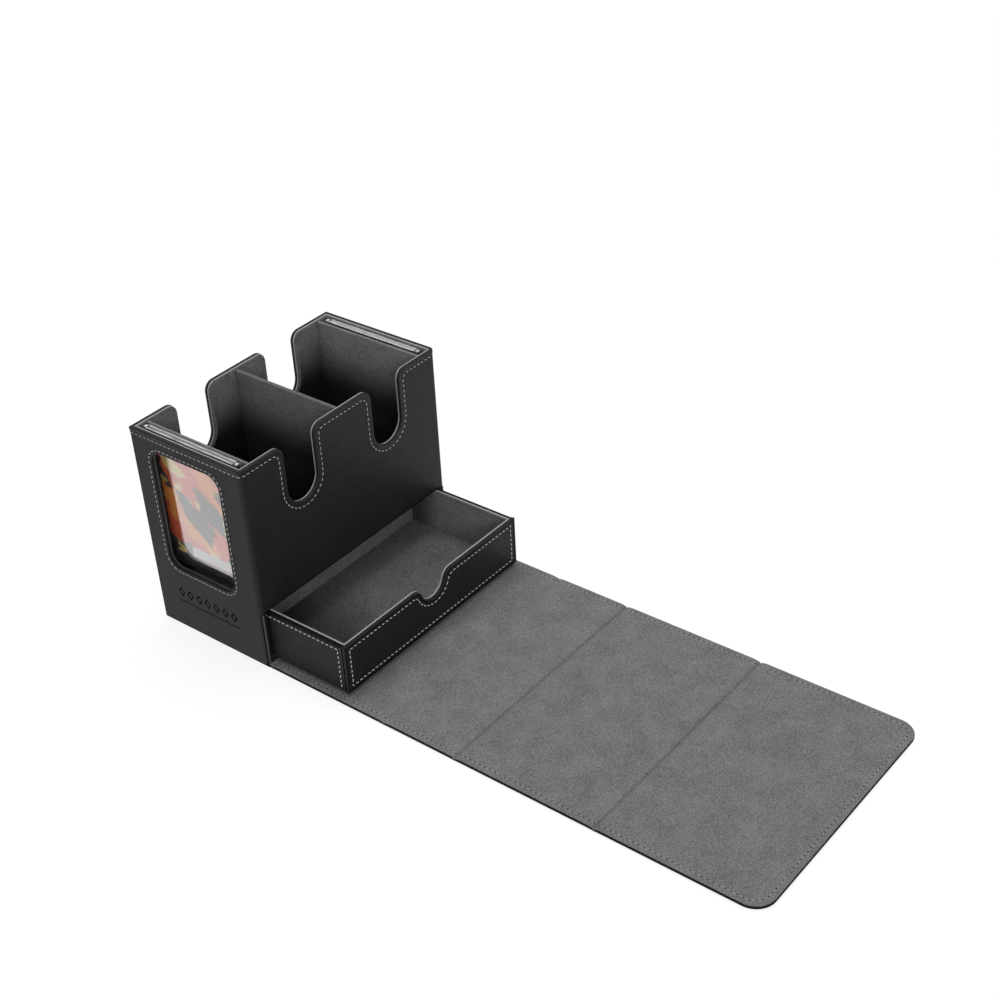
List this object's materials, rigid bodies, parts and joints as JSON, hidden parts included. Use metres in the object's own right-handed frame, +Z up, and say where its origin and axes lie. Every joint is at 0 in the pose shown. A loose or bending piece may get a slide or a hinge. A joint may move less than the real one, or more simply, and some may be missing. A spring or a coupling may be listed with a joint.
{
  "type": "card storage box",
  "caption": "Leather-covered card box with open wells, clear end display cases behind windows, a drawer with a thumb dip below, and a lined wrap that folds out flat",
  "frame": {"origin": "centre of the flat underside of the case, on the surface that it stands on", "axes": "+Z up; +Y to the back, so that the drawer and the folded-out wrap run towards -Y; +X to the right as seen from the front, so that the window in the picture faces -X"},
  "size_m": [0.166, 0.421, 0.1352],
  "materials": {
    "leather_black": "black coated leather, fine diagonal grain",
    "suede_grey": "grey microfibre suede",
    "greyboard": "plain greyboard",
    "clear_plastic": "clear, polished",
    "printed_card": "printed, satin",
    "magnet_steel": "plated disc magnet"
  },
  "bodies": {
    "case": {"base_cover": "leather_black", "base_board": "greyboard", "bay_floor_lining": "suede_grey", "outer_cover": "leather_black", "back_cover": "leather_black", "left_wall_board": "greyboard", "right_wall_board": "greyboard", "front_wall_board": "greyboard", "back_wall_board": "greyboard", "left_back_magnet": "magnet_steel", "right_back_magnet": "magnet_steel", "left_wall_lining": "suede_grey", "right_wall_lining": "suede_grey", "front_wall_lining": "suede_grey", "back_wall_lining": "suede_grey", "deck_board": "leather_black", "left_bay_liner": "leather_black", "right_bay_liner": "leather_black", "left_slot_liner": "suede_grey", "right_slot_liner": "suede_grey", "left_well_lining": "suede_grey", "right_well_lining": "suede_grey", "divider": "suede_grey"},
    "drawer": {"drawer_front_cover": "leather_black", "drawer_front_board": "greyboard", "drawer_body_cover": "leather_black", "drawer_base_cover": "leather_black", "drawer_left_board": "greyboard", "drawer_right_board": "greyboard", "drawer_back_board": "greyboard", "drawer_floor_board": "greyboard", "drawer_wall_lining": "suede_grey", "drawer_floor_lining": "suede_grey"},
    "left_display": {"left_display_outer_plate": "clear_plastic", "left_display_inner_plate": "clear_plastic", "left_display_rim": "clear_plastic", "left_display_card": "printed_card"},
    "right_display": {"right_display_outer_plate": "clear_plastic", "right_display_inner_plate": "clear_plastic", "right_display_rim": "clear_plastic", "right_display_card": "printed_card"},
    "front_lower": {"base_crease": "suede_grey", "front_lower_cover": "leather_black", "front_lower_board": "greyboard", "front_lower_lining": "suede_grey"},
    "front_upper": {"front_crease": "suede_grey", "front_upper_cover": "leather_black", "front_upper_board": "greyboard", "front_upper_lining": "suede_grey"},
    "top_panel": {"top_crease": "suede_grey", "top_panel_cover": "leather_black", "top_panel_board": "greyboard", "top_panel_lining": "suede_grey"},
    "closing_flap": {"flap_crease": "suede_grey", "closing_flap_cover": "leather_black", "closing_flap_board": "greyboard", "closing_flap_lining": "suede_grey", "left_flap_magnet": "magnet_steel", "right_flap_magnet": "magnet_steel"}
  },
  "joints": [
    {"name": "drawer_slide", "type": "slide", "parent": "case", "child": "drawer", "axis": [0, 1, 0], "range_m": [-0.02, 0.0595]},
    {"name": "left_display_lift", "type": "slide", "parent": "case", "child": "left_display", "axis": [0, 0, 1], "range_m": [0, 0.1]},
    {"name": "right_display_lift", "type": "slide", "parent": "case", "child": "right_display", "axis": [0, 0, 1], "range_m": [0, 0.1]},
    {"name": "base_hinge", "type": "hinge", "parent": "case", "child": "front_lower", "pos_m": [0, -0.0472, 0.00075], "axis": [-1, 0, 0], "range_deg": [-90, 0], "deforming": ["base_crease"]},
    {"name": "front_hinge", "type": "hinge", "parent": "front_lower", "child": "front_upper", "pos_m": [0, -0.1334, 0.00075], "axis": [-1, 0, 0], "range_deg": [-90, 20], "deforming": ["front_crease"]},
    {"name": "top_hinge", "type": "hinge", "parent": "front_upper", "child": "top_panel", "pos_m": [0, -0.1839, 0.00075], "axis": [-1, 0, 0], "range_deg": [0, 90], "deforming": ["top_crease"]},
    {"name": "flap_hinge", "type": "hinge", "parent": "top_panel", "child": "closing_flap", "pos_m": [0, -0.2764, 0.00075], "axis": [-1, 0, 0], "range_deg": [0, 90], "deforming": ["flap_crease"]}
  ]
}
